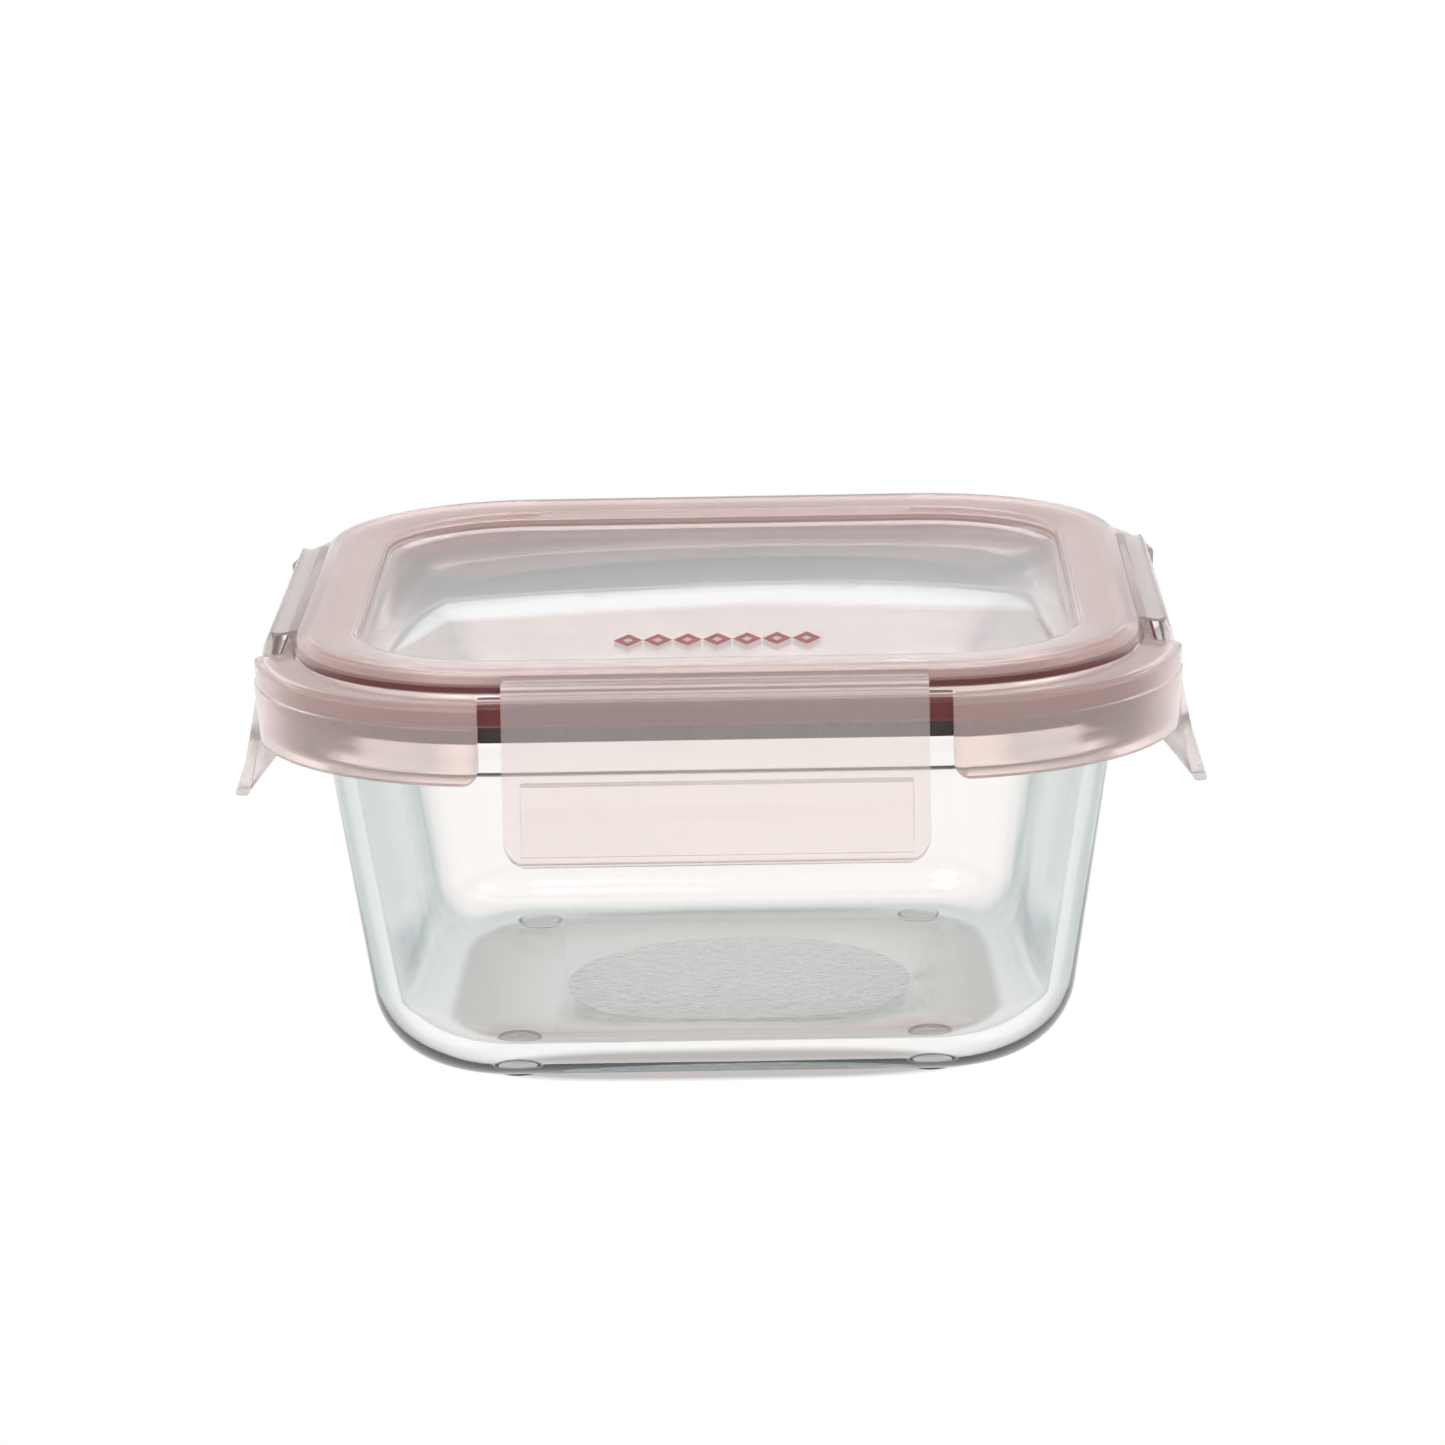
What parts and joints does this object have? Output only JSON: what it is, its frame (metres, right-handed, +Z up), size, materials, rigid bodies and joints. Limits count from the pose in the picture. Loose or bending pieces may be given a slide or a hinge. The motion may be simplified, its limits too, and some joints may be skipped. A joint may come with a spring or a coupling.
{
  "type": "snap lid food container",
  "caption": "Square glass food bowl with a frosted plastic snap lid, silicone seal and one hinged locking flap on each side.",
  "frame": {"origin": "centre of the plane that the four feet stand on", "axes": "+Z up through the lid; the front flap is on -Y, the right flap on +X"},
  "size_m": [0.1588, 0.1588, 0.0736],
  "materials": {
    "glass": "clear pressed glass with a faint blue-green edge tint",
    "lid_plastic": "frosted translucent polypropylene, polished clear over the window",
    "seal_rubber": "dark maroon silicone",
    "flap_plastic": "translucent polypropylene, satin"
  },
  "bodies": {
    "bowl": {"glass_bowl": "glass"},
    "lid": {"lid_moulding": "lid_plastic", "silicone_seal": "seal_rubber", "hinge_film_front": "flap_plastic", "hinge_film_right": "flap_plastic", "hinge_film_back": "flap_plastic", "hinge_film_left": "flap_plastic"},
    "flap_front": {"snap_flap_front": "flap_plastic"},
    "flap_right": {"snap_flap_right": "flap_plastic"},
    "flap_back": {"snap_flap_back": "flap_plastic"},
    "flap_left": {"snap_flap_left": "flap_plastic"}
  },
  "joints": [
    {"name": "lid_lift", "type": "slide", "parent": "bowl", "child": "lid", "axis": [0, 0, 1], "range_m": [0, 0.09]},
    {"name": "front_flap_hinge", "type": "hinge", "parent": "lid", "child": "flap_front", "pos_m": [0, -0.071, 0.0722], "axis": [-1, 0, 0], "range_deg": [-4, 120]},
    {"name": "right_flap_hinge", "type": "hinge", "parent": "lid", "child": "flap_right", "pos_m": [0.071, 0, 0.0722], "axis": [0, -1, 0], "range_deg": [-4, 120]},
    {"name": "back_flap_hinge", "type": "hinge", "parent": "lid", "child": "flap_back", "pos_m": [0, 0.071, 0.0722], "axis": [1, 0, 0], "range_deg": [-4, 120]},
    {"name": "left_flap_hinge", "type": "hinge", "parent": "lid", "child": "flap_left", "pos_m": [-0.071, 0, 0.0722], "axis": [0, 1, 0], "range_deg": [-4, 120]}
  ]
}
